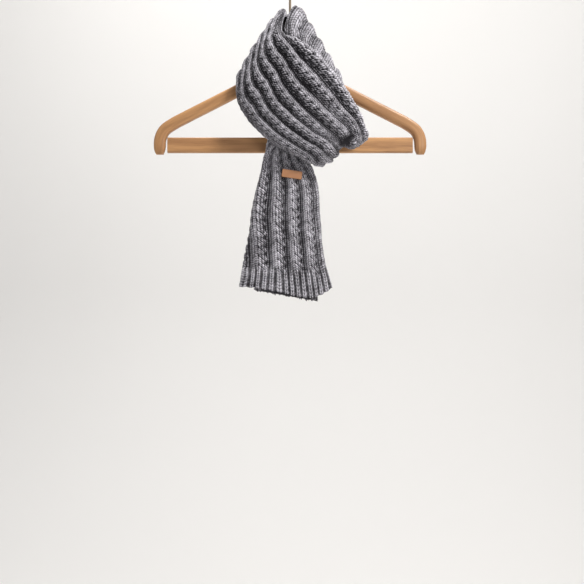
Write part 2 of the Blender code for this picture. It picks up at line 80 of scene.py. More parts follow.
ROWS = [Row(*values) for values in (
    (0, -66, -28, -466, 54, -28, -468, 9, 150, 150, 5.5, 0.7, 2.6, 0.4, 0, 0.8),
    (0, -62, -28, -440, 47, -28, -442, 9, 150, 150, 5.5, 0.7, 2.6, 0.4, 0, 0.8),
    (0, -56, -28, -405, 41, -28, -405, 9, 145, 145, 5.5, 0.9, 2.6, 0.5, 0, 0.8),
    (0, -49, -28, -363, 38, -28, -363, 8, 130, 130, 5.5, 1.2, 2.6, 0.5, 0, 0.8),
    (0, -41, -27, -325, 36, -27, -325, 8, 90, 80, 5.5, 1.3, 2.5, 0.4, 0, 0.8),
    (0, -36, -24, -301, 30, -24, -303, 7, 55, 60, 5.5, 1.3, 2.3, 0.2, 0, 0.85),
    (0, -33, -22, -280, 24, -23, -284, 6, 30, 40, 5.5, 1.1, 1.6, 0.1, 0, 1),
    (0, -28, -22, -258, 28, -22, -266, 6, 10, 0, 5, 0.1, 0),
    (0, -24, -22, -238, 36, -22, -253, 6, 10, 0, 4.5, 0.1, 0),
    (0, -19, -22, -217, 45, -22, -241, 7, 30, 0, 4, 0.3, 0, 0, 0, 0.9),
    (0, -14, -22, -195, 53, -22, -230, 7, 50, 0, 3.5, 0.7, 0, 0, 0, 0.8),
    (0, -10, -21, -173, 60, -22, -219, 7, 70, 0, 3, 1.3, 0, 0, 0, 0.7),
    (0, -7, -19.5, -151, 65, -22, -209, 7, 80, 0, 2.8, 1.9, 0, 0, 0, 0.6),
    (5, -5, -16.5, -131, 69, -21, -199, 7, 90, 0, 2.5, 2.4, 0, 0, 0, 0.55),
    (15, -6, -13.5, -107, 71, -18, -190, 6, 90, 0, 2.5, 2.7, 0, 0, 0, 0.5),
    (45, -1.5, -11, -84, 72, -14, -179, 5, 90, 0, 2.5, 2.9, 0.1, 0, 0, 0.45),
    (90, 7.7, 0, -65.5, 69, 0, -171, 4, 90, 0, 2.5, 2.9, 0.2, 0, 0, 0.45),
    (135, 9, 11.5, -67.5, 66, 14, -177, 5, 90, 0, 2.5, 2.6, 0.1, 0, 0, 0.45),
    (165, 5, 17, -70.5, 40, 18, -188, 6, 80, 0, 2.5, 2, 0, 0, 0, 0.6),
    (180, -1, 19, -72.5, -1, 19, -192, 7, 80, 0, 2.5, 1.8, 0, 0, 0, 0.8),
    (195, -7, 17, -74, -42, 18, -188, 6, 80, 0, 2.5, 2, 0, 0, 0, 0.8),
    (225, -9, 12, -73, -68, 14, -177, 5, 90, 0, 2.5, 2.3, 0.1, 0, 0, 0.75),
    (270, -8, 0, -72, -67, 0, -168.4, 5, 90, 10, 2.5, 2.3, 0.1, 0, 0, 0.7),
    (315, -12.5, -10.5, -86, -71, -16, -179, 7, 90, 20, 2.5, 1.9, 0.3, 0, 0, 0.75),
    (345, -14, -20.5, -102, -71, -20, -198, 9, 80, 60, 3, 1.1, 0.7, 0, 0, 0.85),
    (360, -9, -31, -116, -67, -22, -211, 11, 60, 80, 4, 0.8, 0.9, 0, 0, 1.2),
    (360, 7, -37, -127, -59, -27, -224, 12, 40, 90, 5, 0.4, 0.9, 0, 0, 1.2),
    (360, 25, -41, -140, -50, -33, -237, 11, 20, 90, 5.5, 0.2, 0.9, 0.4, 0, 1.2),
    (360, 43, -42, -156, -38, -39, -250, 10, 15, 90, 5.5, 0.2, 0.9, 0.7, 1, 1.2),
    (360, 59, -42, -176, -23, -45, -263, 9, 15, 80, 5, 0.2, 1, 0.7, 2, 1.2),
    (360, 73, -42, -196, -7, -46, -274, 9, 15, 70, 4.5, 0.2, 1, 0.6, 3, 1.2),
    (360, 85, -42, -215, 8, -46, -282, 8, 20, 65, 4, 0.3, 1.1, 0.5, 4, 1.2),
    (360, 96, -41, -233, 22, -45, -289, 8, 25, 60, 4, 0.4, 1.2, 0.2, 6, 1.2),
    (385, 101, -38, -246, 31, -42, -293, 7, 40, 50, 4, 0.5, 1.4, 0, 8, 1),
    (420, 105, -34, -251, 36, -37, -295, 5, 40, 40, 4, 0.5, 1.3, 0, 8, 0.85),
    (450, 107, -29, -253, 39, -30, -295, 4, 30, 30, 4, 0.4, 1.1, 0, 8, 0.8),
    (490, 102, -22, -251, 37, -23, -293, 3, 20, 20, 4, 0.2, 0.6, 0, 5, 0.8),
    (530, 90, -17, -241, 34, -17, -291, 2, 0, 10, 4, 0, 0.2, 0, 2, 1),
    (540, 70, -16, -226, 29, -16, -290, 2, 0, 0, 4, 0, 0),
    (540, 44, -16, -219, 24, -16, -293, 2, 0, 0, 4, 0, 0),
    (540, 18, -16, -226, 19, -15, -300, 2, 0, 0, 4, 0, 0),
    (540, -3, -16, -247, 17, -14, -311, 2, 10, 10, 4.5, 0.1, 0.1),
    (540, -13, -15, -279, 17, -13, -326, 2, 40, 40, 5, 0.5, 0.5),
    (540, -18, -13, -315, 18, -12, -347, 2, 70, 70, 5.5, 0.8, 0.8),
    (540, -21, -12, -354, 20, -12, -376, 2, 80, 80, 5.5, 1, 1),
    (540, -26, -12, -402, 25, -12, -413, 2, 80, 80, 5.5, 1, 1),
    (540, -36, -12, -441, 31, -12, -452, 2, 80, 80, 5.5, 1, 1),
    (540, -46, -12, -472, 34, -12, -486, 2, 80, 80, 5.5, 1, 1),
)]

SCARF_RIBS = 8
RIB_PITCH = 24  # flat width of one rib with its furrow
FLAT_WIDTH = SCARF_RIBS * RIB_PITCH
WALL = 3  # wall in the furrows of the solids
FURROW_SINK = 1.2  # the knit furrows lie this much lower
FULL_PITCH = 20  # ribs closer together than this stand lower
LEAST_RIB = 0.15  # but never lower than this share of their height
CREASE_PLACE = 0.4375  # across the strip: the top of the fourth rib
CREASE_WIDTH = 0.10
CREASE_FLATTENS = 0.10  # share of the rib lost for each millimetre of crease
CREASE_LIMIT = 0.85  # and the most that it can lose
TURN_RADIUS = 12  # a turn of the strip counts as an arc of this radius
HEM_RIBS = 3 * SCARF_RIBS
HEM_WALL = 3.4
HEM_DROP = 13  # the front hem hangs lower at its right
HEM_LEFT = 0.09  # share of the width where the hem's lower edge begins to hang
HEM_RIGHT = 0.675  # and where it is level again
HEM_BLEND = 6  # wide ribs change into hem ribs over this length
ARCH_POWER = 0.8  # 1 is an ellipse, less is squarer
ARCH_POINTS = 61
ROLL_POINTS = 10
EDGE_ROUND = 2.4  # the long edges thin out over this width
EDGE_WALL = 0.9  # down to about this wall
HEM_SCALLOP = 1.6  # the front hem's lower edge dips by this in each furrow
HEM_SCALLOP_REACH = 14
RAGGED = 2  # the back hem's lower edge is uneven by about this
RAGGED_REACH = 10

# Across one rib: where the parts of the mock cable lie, as shares of its pitch
CORD_LEFT = 0.08
LEFT_SCALLOP = 0.035  # the left side draws in this much between two strands
CHAIN_PLACE = 0.38  # the line of small gaps along the top of the rib
CORD_NOTCH = 0.70  # where the right side lies between two strands
CORD_BUMP = 0.96  # and where it lies on a strand
CABLE_SLANT = 0.9  # millimetres down the rib for each one across it
CHAIN_SLANT = 0.6  # the same on the chain's other side, the other way
STITCH_WIDTH = 3.4
CORD_SKEW = 0.74  # below 1 the rib's top lies left of its middle
CORD_ROUND = 0.95
STAGGER = 0.37  # each rib's cable starts this share of a strand later
SIDE_BLEND = 0.06  # the cord's sides turn into purl over this share of it
CORD_GATHER = 0.8  # its stitches crowd towards its top by this
PIT_SINK, PIT_SHADE = 1.8, 1.3  # gaps between stitches: how deep, and how dark their painted shade is
EYELET_SINK, EYELET_SHADE = 2.4, 0.5  # gaps beside the chain: depth and painted shade
GAP_SINK, GAP_SHADE = 1.1, 0.8  # gaps between two strands: depth in strand depths, and painted shade
# At the right end of the band the upper ribs curl round in a nose, in flat millimetres
NOSE_START = 684  # along the strip, where the ribs begin to turn
NOSE_AXIS = 50  # across the strip, the middle of the curl
NOSE_END = 73  # across the strip, where the hollow under the nose begins
NOSE_STOP = 742
NOSE_SQUEEZE = 1.15
NOSE_BLENDS = (6, 9, 24)  # how softly the curl sets in, ends below and stops

# Soft uneven waves: height, length along and across the strip in mm, seed
Wave = namedtuple("Wave", "high along across seed")
ROW_DRIFT = Wave(0.8, 9, 11, 3)
RIB_DRIFT = Wave(0.0028, 16, 24, 5)  # a share of the strip's width
PIT_DEPTH = Wave(0.3, 4, 4, 17)
STRAND_DRIFT = Wave(0.2, 2, 4, 7)
FUZZ = Wave(0.30, 0.9, 1.3, 31)
NAP = Wave(0.30, 2.2, 2.2, 11)
SWELL = Wave(0.9, 21, 19, 13)
HEM_RIB_DRIFT = Wave(0.30, 60, 13, 41)
HEM_ROUNDNESS = Wave(0.18, 9, 8, 23)
HEM_PATCHES = Wave(0.16, 25, 15, 43)
HEM_NAP = Wave(0.3, 2.6, 2.6, 11)
HEM_LINE = Wave(3, 1, 6, 29)

# Soft troughs: place, share, half length, half width in mm, turn in degrees, depth in mm
Trough = namedtuple("Trough", "place share long wide turn depth")
TROUGHS = [Trough(*values) for values in (
    (78, 0.085, 46, 11, 0, -5.5),
    (62, 0.20, 34, 7, 8, 1.6),
    (118, 0.72, 42, 8, -10, 1.8),
    (170, 0.45, 26, 9, 24, 1.4),
    (236, 0.62, 38, 8, 14, 1.6),
    (300, 0.80, 44, 7, -12, 1.5),
    (352, 0.66, 30, 9, 20, 1.3),
    (402, 0.50, 40, 11, 4, 2.2),
    (452, 0.72, 36, 9, -15, 1.8),
    (509, 0.20, 26, 8, -29, 6.5),
    (520, 0.86, 44, 6, 6, 1.4),
    (598, 0.26, 40, 7, -8, 1.8),
    (640, 0.62, 34, 6, 10, 2.2),
    (668, 0.80, 26, 6, -6, 2),
    (708, 0.27, 12, 22, 0, -8.5),
    (690, 0.30, 12, 4.5, 88, 8),
    (693, 0.345, 8, 7, 0, 8),
    (701, 0.395, 18, 7, 0, 8),
    (706, 0.53, 16, 11, 0, 3),
    (742, 0.50, 34, 9, -20, 1.6),
    (808, 0.34, 44, 8, 12, 1.8),
    (872, 0.66, 52, 9, -8, 2),
    (938, 0.42, 40, 8, 10, 1.6),
)]
# Furrows that lie open and shallow: the depth is the share of the rib's height lost there
OPENED = [
    Trough(652, 0.243, 46, 7.5, 0, 0.7),
    Trough(625, 0.118, 40, 5.5, 0, 0.4),
]
OPENED_RISE = 3  # the furrow's floor comes up by this at a full share
TROUGH_SHADE = 0.065  # painted shade: a trough is this much darker for each millimetre of its depth
TROUGH_STITCH_SHADE = 0.045  # and its stitches get this much more painted shade

# Stretches: first and last row, coarse rows along, coarse columns across, flat cut in mm
Stretch = namedtuple("Stretch", "name first last steps across cut_width cut_length rests slot",
                     defaults=("knit_light",))
STRETCHES = [Stretch(*values) for values in (
    ("front_hem", 0, 1, 12, 96, 192, 36, ["knit_front_tail"]),
    ("front_tail", 1, 6, 65, 84, 192, 160, ["knit_back_tail"]),
    ("right_strand", 6, 16, 60, 72, 160, 178, ["shoulder_rail"]),
    ("collar", 16, 22, 40, 72, 192, 117, ["shoulder_rail"]),
    ("front_band", 22, 32, 69, 84, 192, 197, ["knit_right_strand", "shoulder_rail"]),
    ("right_turn", 32, 38, 28, 84, 140, 72, ["knit_right_strand"]),
    # the back pieces take the darker yarn copy knit_shade: painted shade
    ("back_tail", 38, 46, 65, 60, 110, 220, ["knit_right_turn"], "knit_shade"),
    ("back_hem", 46, 47, 10, 72, 150, 30, ["knit_back_tail"], "knit_shade"),
)]
FINE = 4  # fine cells along each side of a coarse one, on the outer face
STEP_ACROSS = 0.004  # the surface's slope is read over these steps, as shares of its width
STEP_ALONG = 0.6  # and in millimetres
PITCH_REACH = 0.35 / SCARF_RIBS


# ---- properties
def size_property(name, description, default):
    return bpy.props.FloatProperty(name=name, description=description, default=default * MM,
                                   min=0, unit="LENGTH", subtype="DISTANCE", precision=5)


def colour_property(name, description, default):
    return bpy.props.FloatVectorProperty(name=name, description=description, default=default,
                                         min=0, max=1, size=3, subtype="COLOR")


class ScarfSizes(bpy.types.PropertyGroup):
    """Sizes and colours of the knitting."""
    rib_height: size_property("Rib height", "Height of a wide rib over its furrow", 7)
    hem_height: size_property("Hem rib height", "Height of a narrow hem rib", 2.9)
    repeat: size_property("Cable repeat", "Length of one mock-cable strand along the rib", 12.2)
    row: size_property("Row height", "Height of one row of stitches", 3.05)
    strand_depth: size_property("Strand depth", "Depth of the clefts between two strands", 1.7)
    stitch_depth: size_property("Stitch depth", "Relief of a single stitch", 1.3)
    yarn: colour_property("Yarn", "Lit colour of the heathered yarn", (0.86, 0.835, 0.915))
    # the colour of the painted shade deep in the furrows
    yarn_shade: colour_property("Yarn in the furrows", "Colour deep between the ribs",
                                (0.020, 0.018, 0.022))


class HangerSizes(bpy.types.PropertyGroup):
    """Sizes and colours of the hanger and the tab."""
    arm_height: size_property("Arm height", "Height of the shoulder rail", 17)
    arm_thickness: size_property("Arm thickness", "Thickness of the shoulder rail", 14)
    neck_height: size_property("Neck height", "Height of the rail under the hook", 28)
    bar_height: size_property("Bar height", "Height of the trouser bar", 22)
    bar_thickness: size_property("Bar thickness", "Thickness of the trouser bar", 9)
    wire: size_property("Hook wire", "Diameter of the hook's wire", 3.4)
    wood: colour_property("Wood", "Colour of the lit wood", (0.62, 0.33, 0.14))
    grain: colour_property("Wood grain", "Colour of the dark growth rings", (0.27, 0.12, 0.05))
    metal: colour_property("Hook metal", "Colour of the hook", (0.42, 0.33, 0.24))
    leather: colour_property("Leather", "Colour of the tab", (0.50, 0.24, 0.12))


class StageSizes(bpy.types.PropertyGroup):
    """The studio round the scarf."""
    backdrop: colour_property("Backdrop", "Colour of the floor and wall", (0.87, 0.862, 0.855))
    key: bpy.props.FloatProperty(name="Key light", description="Power of the key light",
                                 default=50, min=0, unit="POWER")
    fill: bpy.props.FloatProperty(name="Fill light", description="Strength of the surroundings",
                                  default=0.20, min=0, max=4)


# ---- the strip's surface
def kept(values):
    """The values, kept between 0 and 1."""
    return np.clip(values, 0, 1)


def long_edges(row):
    """A section's points on the inner and the outer long edge."""
    return np.array(row[1:4]), np.array(row[4:7])


def path_places(rows):
    """How far along the strip each row lies, in millimetres of its middle line."""
    places = [0]
    for before, after in zip(rows, rows[1:]):
        step = np.linalg.norm(sum(long_edges(after)) / 2 - sum(long_edges(before)) / 2)
        turned = math.radians(after.turn - before.turn) * TURN_RADIUS
        places.append(places[-1] + math.hypot(step, turned))
    return np.array(places)


PLACES = path_places(ROWS)
TABLE = np.array(ROWS, dtype=float)


def table_slopes():
    """The slope of every column at every row, for a smooth curve through the rows."""
    spans = np.diff(PLACES)[:, None]
    chords = np.diff(TABLE, axis=0) / spans
    slopes = (chords[:-1] * spans[1:] + chords[1:] * spans[:-1]) / (spans[1:] + spans[:-1])
    slopes[chords[:-1] * chords[1:] <= 0] = 0
    return np.vstack([chords[:1], slopes, chords[-1:]])


SLOPES = table_slopes()


def curve_at(places, values, slopes, place):
    """The value at one place of the smooth curve through the given values."""
    i = int(np.clip(np.searchsorted(places, place) - 1, 0, len(places) - 2))
    span = places[i + 1] - places[i]
    t = (place - places[i]) / span
    return ((2 * t**3 - 3 * t**2 + 1) * values[i] + (t**3 - 2 * t**2 + t) * span * slopes[i]
            + (3 * t**2 - 2 * t**3) * values[i + 1] + (t**3 - t**2) * span * slopes[i + 1])


def row_at(place):
    """The section's values anywhere along the strip."""
    return Row(*curve_at(PLACES, TABLE, SLOPES, place))


def lengths_along(points):
    """How far along a line of points each of them lies."""
    return np.r_[0, np.cumsum(np.hypot(*np.diff(points, axis=0).T))]


def rolled(degrees, radius):
    """Points round a rolled edge, from the flat out: how far back and how far in."""
    turned = np.radians(np.linspace(0, max(degrees, 0), ROLL_POINTS)[1:])
    return [(radius - radius * math.cos(a), -radius * math.sin(a)) for a in turned]


def section_outline(row):
    """One section's inner line as points in the plane of (along the chord, outwards)."""
    chord = math.dist(*long_edges(row))
    points = rolled(row.roll_i, row.radius)[::-1]
    for angle in np.linspace(0, math.pi, ARCH_POINTS):
        swing = -math.copysign(abs(math.cos(angle)) ** ARCH_POWER, math.cos(angle))
        rise = abs(math.sin(angle)) ** ARCH_POWER
        points.append((chord * (1 + swing) / 2, row.bulge * rise))
    points += [(chord - back, rise) for back, rise in rolled(row.roll_o, row.radius)]
    return np.array(points)


def share_curve(row, length):
    """Shares of the width against length along the section: ribs tucked in rolls, and leaning."""
    roll_i, roll_o = np.radians(np.maximum([row.roll_i, row.roll_o], 0)) * row.radius
    tuck_i, tuck_o = np.maximum([row.tuck_i, row.tuck_o], 0) / SCARF_RIBS
    flat = np.linspace(0, 1, 21)
    leant = flat + row.lean / SCARF_RIBS * np.sin(np.pi * flat)
    shares = tuck_i + 1e-6 + (1 - tuck_i - tuck_o - 2e-6) * flat
    lengths = roll_i + 1e-6 + (length - roll_i - roll_o - 2e-6) * leant
    return np.r_[0, shares, 1], np.r_[0, lengths, length]


def crease_dent(shares):
    """The sharp fold's profile across the strip, 1 at its bottom."""
    return hill((shares - CREASE_PLACE) / CREASE_WIDTH)


def section_points(place, shares):
    """Points of the inner surface on one section, at the given shares of its width."""
    row = row_at(place)
    inner, outer = long_edges(row)
    across = (outer - inner) / np.linalg.norm(outer - inner)
    back = np.array([0, 1, 0])
    front = -back + across * across[1]
    front /= np.linalg.norm(front)
    side = np.cross(front, across)
    if np.dot(side, np.array([-across[2], 0, across[0]])) < 0:
        side = -side
    turn = math.radians(row.turn)
    face = math.cos(turn) * front + math.sin(turn) * side
    outline = section_outline(row)
    lengths = lengths_along(outline)
    wanted = np.interp(shares, *share_curve(row, lengths[-1]))
    along = np.interp(wanted, lengths, outline[:, 0])
    rise = np.interp(wanted, lengths, outline[:, 1])
    rise = rise - row.crease * crease_dent(shares)
    points = inner + np.outer(along, across) + np.outer(rise, face)
    hem = kept(1 - place / PLACES[1])
    hung = kept((shares - HEM_LEFT) / (HEM_RIGHT - HEM_LEFT))
    points[:, 2] -= HEM_DROP * np.sin(np.pi * hung ** 2) * hem
    return points


def surface_grid(places, shares):
    """Inner points, outward directions, directions across and rib pitch of the strip."""
    def grid(step_along, step_across):
        moved = kept(shares + step_across)
        return np.array([section_points(p + step_along, moved) for p in places])

    across = grid(0, STEP_ACROSS) - grid(0, -STEP_ACROSS)
    normals = np.cross(across, grid(STEP_ALONG, 0) - grid(-STEP_ALONG, 0))
    normals /= np.linalg.norm(normals, axis=2, keepdims=True)
    across /= np.linalg.norm(across, axis=2, keepdims=True)
    span = np.linalg.norm(grid(0, PITCH_REACH) - grid(0, -PITCH_REACH), axis=2)
    width = kept(shares + PITCH_REACH) - kept(shares - PITCH_REACH)
    return grid(0, 0), normals, across, span / width / SCARF_RIBS


def smooth_step(value):
    t = kept(value)
    return t * t * (3 - 2 * t)


def wander(x, y, seed):
    """Smooth seeded noise from -1 to 1, with one bump for each unit of x and y."""
    count = 128
    lattice = np.random.default_rng(seed).uniform(-1, 1, (count, count))
    x, y = np.broadcast_arrays(x, y)
    column, line = np.floor(x).astype(int), np.floor(y).astype(int)
    across, along = smooth_step(x - column), smooth_step(y - line)

    def blended(row):
        return (lattice[column % count, row % count] * (1 - across)
                + lattice[(column + 1) % count, row % count] * across)

    return blended(line) * (1 - along) + blended(line + 1) * along


def waved(wave, along, across):
    return wave.high * wander(along / wave.along, across / wave.across, wave.seed)


def hill(x, y=0):
    """A soft round hill, 1 in its middle and near 0 past 2."""
    return np.exp(-x ** 2 - y ** 2)


def ridge(phase, power):
    """One round ridge for each whole number of the phase, 0 in the clefts and 1 on top."""
    return np.abs(np.sin(np.pi * phase)) ** power


def stitch_column(across, rows):
    """A column of V stitches: across runs from -1 to 1 over it, rows counts its stitches."""
    legs = ridge(across, 0.8)
    slanted = ridge(rows - 0.6 * np.abs(across), 0.7)
    return (0.15 + 0.85 * legs) * (0.12 + 0.88 * slanted)


def pits(columns, rows, wide, long):
    """Small gaps at whole numbers of columns and rows, 1 in their middle: sunk into the lift and
    darkened as painted shade.
    """
    sideways = (columns + 0.5) % 1 - 0.5
    lengthwise = (rows + 0.5) % 1 - 0.5
    return hill(sideways / wide, lengthwise / long)


def fold_over(trough, places, shares):
    """How much of a trough lies at each point, from 0 to 1."""
    along = places[:, None] - trough.place
    over = (shares[None, :] - trough.share) * FLAT_WIDTH
    c, s = math.cos(math.radians(trough.turn)), math.sin(math.radians(trough.turn))
    lengthwise = (along * c + over * s) / trough.long
    sideways = (over * c - along * s) / trough.wide
    return hill(lengthwise, sideways)


def curl_nose(place, share, along, across):
    """Turns the rows and ribs round the nose at the right end of the band."""
    soft, soft_end, soft_stop = NOSE_BLENDS
    over = np.maximum(along - NOSE_START, 0) * NOSE_SQUEEZE
    reach = np.hypot(across - NOSE_AXIS, over)
    angle = np.arctan2(over, NOSE_AXIS - across)
    curled = smooth_step((along - NOSE_START) / soft) * smooth_step((NOSE_END - across) / soft_end)
    curled = curled * smooth_step((NOSE_STOP - along) / soft_stop)
    curled_share = np.abs(NOSE_AXIS - reach) / FLAT_WIDTH
    return (place * (1 - curled) + (NOSE_START + reach * angle) * curled,
            share * (1 - curled) + curled_share * curled)


def rib_stand(places, shares, pitch):
    """How high the ribs stand, as a share of their height, and how far furrows are opened."""
    stand = np.array([row_at(p).stand for p in places])[:, None]
    stand = stand * np.clip(pitch / FULL_PITCH, LEAST_RIB, 1)
    crease = np.array([row_at(p).crease for p in places])
    lost = CREASE_FLATTENS * np.outer(crease, crease_dent(shares))
    stand = stand * (1 - np.clip(lost, 0, CREASE_LIMIT))
    opened = sum(trough.depth * fold_over(trough, places, shares) for trough in OPENED)
    return stand * (1 - opened), opened


def hem_relief(place, share, wave, uneven, sizes):
    """The hem's narrow ribs: lift, the painted shade of its ribs with random patches of tone, and
    how high it stands in its stitch, with painted shade in its gaps.
    """
    row = sizes.row / MM
    rib = share * HEM_RIBS + wave(HEM_RIB_DRIFT)
    r = rib - np.floor(rib)
    cord = np.sin(np.pi * r) ** (0.62 + wave(HEM_ROUNDNESS))
    # painted shade: the hem's furrows darker, its ribs lighter, with random patches of tone
    rib_shading = 0.42 + 0.42 * cord + wave(HEM_PATCHES)
    loops = stitch_column(np.clip((r - 0.5) / 0.36, -1, 1), place / row)
    dots = pits((r - 0.5) * 3, place / row, 0.30, 0.30) * uneven
    lift = HEM_WALL + sizes.hem_height / MM * cord - sizes.stitch_depth / MM * (1 - loops) * cord
    lift = lift + 0.4 * ridge(place / row + 0.5, 0.8) * (1 - cord) - 0.9 * dots
    # the gaps between stitches are darkened: painted shade
    return lift + wave(HEM_NAP), rib_shading, 0.30 + 0.60 * loops - 0.5 * dots


def knit_relief(places, shares, pitch, sizes):
    """Lift, slide across, the painted shade of each point in its rib, and how high it stands in its
    stitch, with painted shade in its gaps.
    """
    row = sizes.row / MM
    repeat = sizes.repeat / MM
    across = shares[None, :] * FLAT_WIDTH
    along = places[:, None]

    def wave(kind):
        return waved(kind, along, across)

    place = along + wave(ROW_DRIFT)
    share = shares[None, :] + wave(RIB_DRIFT)
    place, share = curl_nose(place, share, along, across)
    rib = kept(share) * SCARF_RIBS
    number = np.floor(rib)
    r = rib - number
    stagger = number * STAGGER
    past_chain = (r - CHAIN_PLACE) * RIB_PITCH
    uneven = 0.7 + wave(PIT_DEPTH)

    # the rib's cord, with a scalloped side on either hand
    def strand_at(part):
        slanted = place + CABLE_SLANT * (part - CHAIN_PLACE) * RIB_PITCH
        return ridge(slanted / repeat + stagger, 0.8)

    left_side = CORD_LEFT + LEFT_SCALLOP * (1 - strand_at(CORD_LEFT))
    right_side = CORD_NOTCH + (CORD_BUMP - CORD_NOTCH) * strand_at(CORD_BUMP)
    t = kept((r - left_side) / (right_side - left_side))
    cord = np.sin(np.pi * t ** CORD_SKEW) ** CORD_ROUND
    in_cord = smooth_step(t / SIDE_BLEND) * smooth_step((1 - t) / SIDE_BLEND)
    in_strand = in_cord * smooth_step((r - CHAIN_PLACE - 0.01) / 0.10)
    slant = CABLE_SLANT * past_chain
    cleft = (((place + slant) / repeat + stagger + 0.5) % 1 - 0.5) * repeat
    strands = np.exp(-(np.abs(cleft) / 1.5) ** 1.5)

    # stitches: upright on the chain, bent on the strands, purl in the furrows
    column = past_chain / STITCH_WIDTH
    chain_row = (place + CHAIN_SLANT * np.maximum(-past_chain, 0)) / row + stagger
    upright = stitch_column(2 * ((column + 0.5) % 1) - 1, chain_row)
    bent_row = (place + slant) / row + stagger * repeat / row
    bent = ridge(bent_row + waved(STRAND_DRIFT, place, across), 0.7)
    bent = bent * (0.6 + 0.4 * ridge(column + 0.5, 0.6))
    purl_column = r * RIB_PITCH / STITCH_WIDTH
    purl_row = place / row + 0.5 * np.floor(purl_column)
    purl = ridge(purl_row, 0.5) * (0.5 + 0.5 * ridge(purl_column, 0.5))
    loops = in_cord * (upright * (1 - in_strand) + bent * in_strand) + (1 - in_cord) * purl

    # small gaps between stitches, larger ones beside the chain and between the strands
    dots = pits(column + 0.5, chain_row, 0.26, 0.36) * (1 - in_strand) * in_cord
    dots = dots * (0.45 + 0.55 * ridge(place / repeat + stagger + 0.5, 1))
    bent_dots = pits(column + 0.5, bent_row, 0.26, 0.30) * in_strand * 1.1
    purl_dots = pits(purl_column, purl_row + 0.5, 0.26, 0.30) * (1 - in_cord)
    dots = (dots + bent_dots + purl_dots) * uneven
    eyelets = hill((past_chain - 0.07 * RIB_PITCH) / 1.5, cleft / 1.3)
    eyelets = eyelets + 0.8 * hill((past_chain - 0.24 * RIB_PITCH) / 1.4, cleft / 1.2)
    gaps = hill((r - right_side + 0.03) * RIB_PITCH / 2.6, cleft / 2.6)

    # how deep all this is, and how much painted shade it gets
    stand, opened = rib_stand(places, shares, pitch)
    lift = WALL - FURROW_SINK + sizes.rib_height / MM * stand * cord + OPENED_RISE * opened
    lift = lift + wave(NAP) + stand * wave(SWELL)
    hollows = sizes.strand_depth / MM * (strands * in_strand + GAP_SINK * gaps)
    hollows = hollows + sizes.stitch_depth / MM * (1 - loops)
    hollows = hollows + PIT_SINK * dots + EYELET_SINK * eyelets
    lift = lift - np.clip(stand, 0.5, 1) * hollows
    # from here loops only sets colour: painted shade in the gaps between stitches, with random fuzz
    loops = loops - PIT_SHADE * dots + in_strand * wave(FUZZ)
    slide = -np.sin(2 * np.pi * t) * CORD_GATHER * stand
    # painted shade: low ribs, the furrows, the clefts between strands, the eyelets and the gaps are
    # darker, the rib's top lighter
    base = np.clip(1 - 0.83 * stand, 0, 0.55)
    rib_shading = base + (1 - base) * 0.96 * cord ** 0.6
    rib_shading = rib_shading - np.clip(stand, 0.3, 1) * (
        0.30 * strands * in_strand + EYELET_SHADE * eyelets + GAP_SHADE * gaps)
    # painted shade on the right flank of tall ribs
    rib_shading = rib_shading - 0.7 * kept(stand - 0.75) * smooth_step((t - 0.35) / 0.5)

    # the wide ribs change into the narrow ribs of either hem
    hem = hem_relief(place, share, wave, uneven, sizes)
    to_hem = np.minimum(places - PLACES[1], PLACES[-2] - places)[:, None]
    late = to_hem + waved(HEM_LINE, 0 * along, across) + 2
    wide = smooth_step(0.5 + late / (2 * HEM_BLEND))
    lift, rib_shading, loops = [here * wide + there * (1 - wide)
                          for here, there in zip((lift, rib_shading, loops), hem)]
    slide = slide * wide

    for trough in TROUGHS:
        fold = fold_over(trough, places, shares)
        lift = lift - trough.depth * stand * fold
        # painted shade in the troughs: colour only, the dent itself is in the lift above
        rib_shading = rib_shading - TROUGH_SHADE * max(trough.depth, 0) * fold
        loops = loops - TROUGH_STITCH_SHADE * max(trough.depth, 0) * fold

    width = shares * SCARF_RIBS * pitch
    edge = np.minimum(width, (1 - shares) * SCARF_RIBS * pitch) / EDGE_ROUND
    rounding = np.sqrt(kept(1 - (1 - kept(edge)) ** 2))
    lift = EDGE_WALL + (np.maximum(lift, 1) - EDGE_WALL) * (0.25 + 0.75 * rounding)
    return lift, slide, kept(rib_shading), kept(loops)


# ---- making objects
def new_object(name, data, material=None):
    item = bpy.data.objects.new(name, data)
    if material:
        data.materials.append(material)
    bpy.context.scene.collection.objects.link(item)
    return item


def mesh_object(bm, name, material, sharp=None):
    mesh = bpy.data.meshes.new(name)
    bm.to_mesh(mesh)
    bm.free()
    mesh.shade_smooth()
    if sharp is not None:
        mesh.set_sharp_from_angle(angle=math.radians(sharp))
    return new_object(name, mesh, material)


def pull_out(bm, pulled, offset):
    """Moves the new points of an extrusion and sets its faces outwards."""
    verts = [item for item in pulled["geom"] if isinstance(item, bmesh.types.BMVert)]
    bmesh.ops.translate(bm, verts=verts, vec=offset)
    bmesh.ops.recalc_face_normals(bm, faces=bm.faces)


def stitched_block(columns, rows):
    """A unit block with a coarse lower face and a fine upper one."""
    bm = bmesh.new()
    bmesh.ops.create_grid(bm, x_segments=columns, y_segments=rows, size=0.5)
    bmesh.ops.translate(bm, verts=bm.verts, vec=(0.5, 0.5, 0))
    pulled = bmesh.ops.extrude_face_region(bm, geom=list(bm.faces), use_keep_orig=True)
    pull_out(bm, pulled, (0, 0, 1))
    upper = [edge for edge in bm.edges if min(edge.verts[0].co.z, edge.verts[1].co.z) > 0.5]
    bmesh.ops.subdivide_edges(bm, edges=upper, cuts=FINE - 1, use_grid_fill=True)
    for face in bm.faces:
        if abs(face.normal.z) < 0.5:
            for edge in face.edges:
                edge.smooth = False
    return bm


